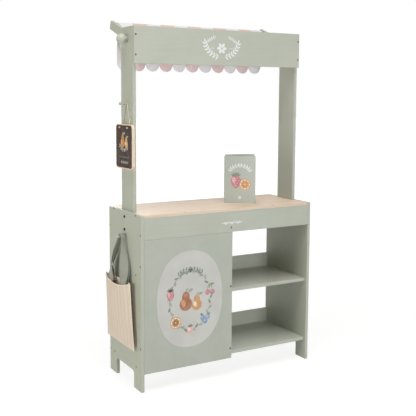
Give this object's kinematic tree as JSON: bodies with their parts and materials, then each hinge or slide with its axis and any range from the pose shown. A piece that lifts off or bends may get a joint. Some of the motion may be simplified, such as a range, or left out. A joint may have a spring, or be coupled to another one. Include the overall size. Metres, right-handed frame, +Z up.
{
  "type": "toy market stall",
  "caption": "Child's play stall: painted cabinet with counter and open shelves, posts with a sign board, tilting striped awning, hanging chalk sign and bag, and a menu card.",
  "frame": {"origin": "on the floor, midway across the width and midway along the depth from the front of the cabinet to the end of the awning", "axes": "+X to the right seen from the front, +Y from the front to the back, +Z up"},
  "size_m": [0.6475, 0.2616, 1.0809],
  "materials": {
    "sage_paint": "satin sage green paint",
    "counter_wood": "pale, matt lacquer",
    "black_bolts": "black",
    "zinc_steel": "zinc plated",
    "bronze_screws": "bronze plated",
    "awning_cloth": "woven cotton in blush and white stripes",
    "chalk_face": "matt dark board paint",
    "natural_cord": "twisted cotton",
    "bag_cloth": "striped woven cotton",
    "handle_cloth": "soft woven cotton",
    "menu_card": "printed board, satin"
  },
  "bodies": {
    "stall": {"left_side_panel": "sage_paint", "right_side_panel": "sage_paint", "counter_top": "counter_wood", "front_apron": "sage_paint", "back_apron": "sage_paint", "front_panel": "sage_paint", "divider": "sage_paint", "bottom_shelf": "sage_paint", "middle_shelf": "sage_paint", "inner_shelf": "sage_paint", "bottom_rail": "sage_paint", "middle_rail": "sage_paint", "left_post": "sage_paint", "right_post": "sage_paint", "sign_board": "sage_paint", "post_bolts": "black_bolts", "post_nuts": "zinc_steel", "left_panel_screws": "bronze_screws", "right_panel_screws": "bronze_screws", "front_screws": "bronze_screws", "counter_screws": "bronze_screws", "divider_screws": "bronze_screws", "rail_screws": "bronze_screws", "sign_screws": "bronze_screws", "sign_peg": "sage_paint", "bag_peg": "sage_paint"},
    "awning": {"left_awning_arm": "sage_paint", "right_awning_arm": "sage_paint", "pivot_rod": "counter_wood", "tip_rod": "counter_wood", "pivot_washers": "zinc_steel", "left_knob": "sage_paint", "right_knob": "sage_paint", "awning_roof": "awning_cloth"},
    "valance": {"awning_valance": "awning_cloth", "valance_sleeve": "awning_cloth"},
    "chalk_sign": {"chalk_board": "counter_wood", "chalk_panel": "chalk_face", "sign_cord": "natural_cord", "cord_knots": "natural_cord"},
    "bag": {"bag_body": "bag_cloth", "bag_front_handle": "handle_cloth", "bag_back_handle": "handle_cloth"},
    "menu_front": {"menu_front_leaf": "menu_card"},
    "menu_back": {"menu_back_leaf": "menu_card"}
  },
  "joints": [
    {"name": "awning_swing", "type": "hinge", "parent": "stall", "child": "awning", "pos_m": [0, -0.01833, 1.016], "axis": [1, 0, 0], "range_deg": [-95, 25]},
    {"name": "valance_hang", "type": "hinge", "parent": "awning", "child": "valance", "pos_m": [0, 0.10947, 1.06252], "axis": [1, 0, 0], "range_deg": [-30, 100]},
    {"name": "chalk_sign_swing", "type": "hinge", "parent": "stall", "child": "chalk_sign", "pos_m": [-0.305, -0.01833, 0.83137], "axis": [1, 0, 0], "range_deg": [-25, 25]},
    {"name": "bag_swing", "type": "hinge", "parent": "stall", "child": "bag", "pos_m": [-0.31, -0.01833, 0.441], "axis": [1, 0, 0], "range_deg": [-20, 20]},
    {"name": "menu_lift", "type": "slide", "parent": "stall", "child": "menu_front", "axis": [0, 0, 1], "range_m": [0, 0.06]},
    {"name": "menu_open", "type": "hinge", "parent": "menu_front", "child": "menu_back", "pos_m": [0.049, -0.01183, 0.592], "axis": [0, 0, 1], "range_deg": [-15, 130]}
  ],
  "couplings": [
    {"joint": "valance_hang", "follows": "awning_swing", "ratio": -1}
  ]
}
